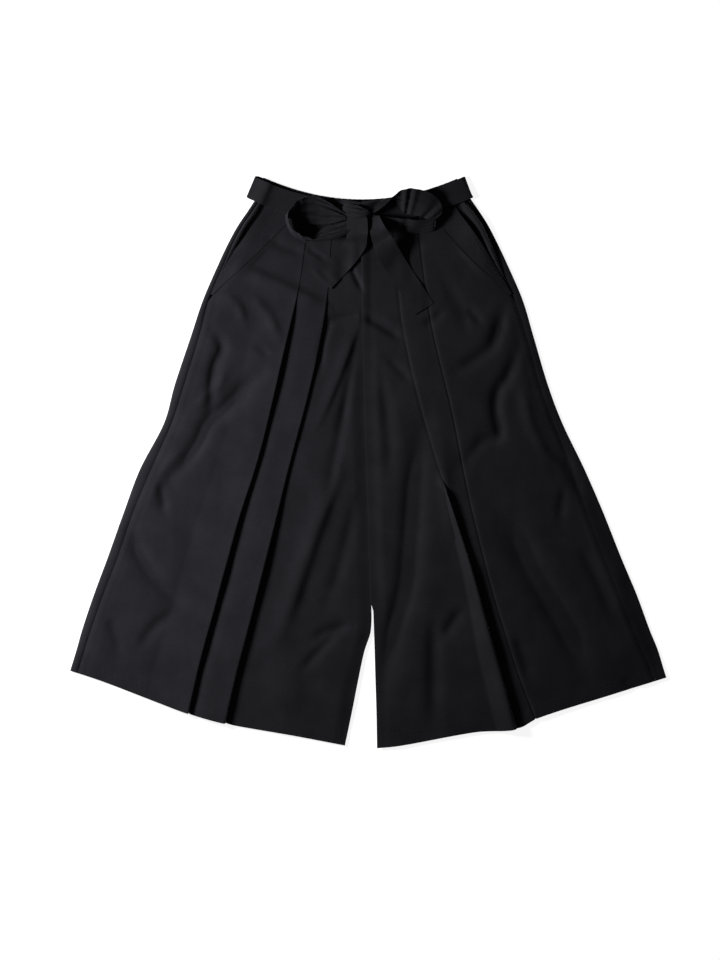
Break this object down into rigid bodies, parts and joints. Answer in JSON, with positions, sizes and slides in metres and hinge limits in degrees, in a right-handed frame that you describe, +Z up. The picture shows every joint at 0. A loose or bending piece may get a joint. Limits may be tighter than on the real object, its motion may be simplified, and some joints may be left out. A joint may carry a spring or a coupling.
{
  "type": "hakama trousers",
  "caption": "Wide-legged pleated hakama trousers with slant pockets and a sash tied in a bow, laid flat with the front up.",
  "frame": {"origin": "centre of the bounding box, on the surface that the trousers lie on", "axes": "+X across the legs to the viewer's right, +Y from the hem to the waist, +Z up from the surface"},
  "size_m": [0.9658, 0.9265, 0.0412],
  "materials": {
    "back_leg_left": "matt woven cloth",
    "back_leg_right": "matt woven cloth",
    "front_leg_left": "matt woven cloth",
    "front_leg_right": "matt woven cloth",
    "hip_panel_left": "matt woven cloth",
    "hip_panel_right": "matt woven cloth",
    "pocket_facing_left": "matt woven cloth",
    "pocket_facing_right": "matt woven cloth",
    "waistband_back": "matt woven cloth",
    "waistband_front": "matt woven cloth",
    "belt_left": "matt woven cloth",
    "belt_right": "matt woven cloth",
    "belt_back": "matt woven cloth",
    "knot": "matt woven cloth",
    "bow_loop_left": "matt woven cloth",
    "bow_loop_right": "matt woven cloth",
    "tail_left": "matt woven cloth",
    "tail_right": "matt woven cloth"
  },
  "bodies": {
    "root": {"back_leg_left": "back_leg_left", "back_leg_right": "back_leg_right", "front_leg_left": "front_leg_left", "front_leg_right": "front_leg_right", "hip_panel_left": "hip_panel_left", "hip_panel_right": "hip_panel_right", "pocket_facing_left": "pocket_facing_left", "pocket_facing_right": "pocket_facing_right", "waistband_back": "waistband_back", "waistband_front": "waistband_front", "belt_left": "belt_left", "belt_right": "belt_right", "belt_back": "belt_back", "knot": "knot", "bow_loop_left": "bow_loop_left", "bow_loop_right": "bow_loop_right", "tail_left": "tail_left", "tail_right": "tail_right"}
  },
  "joints": []
}
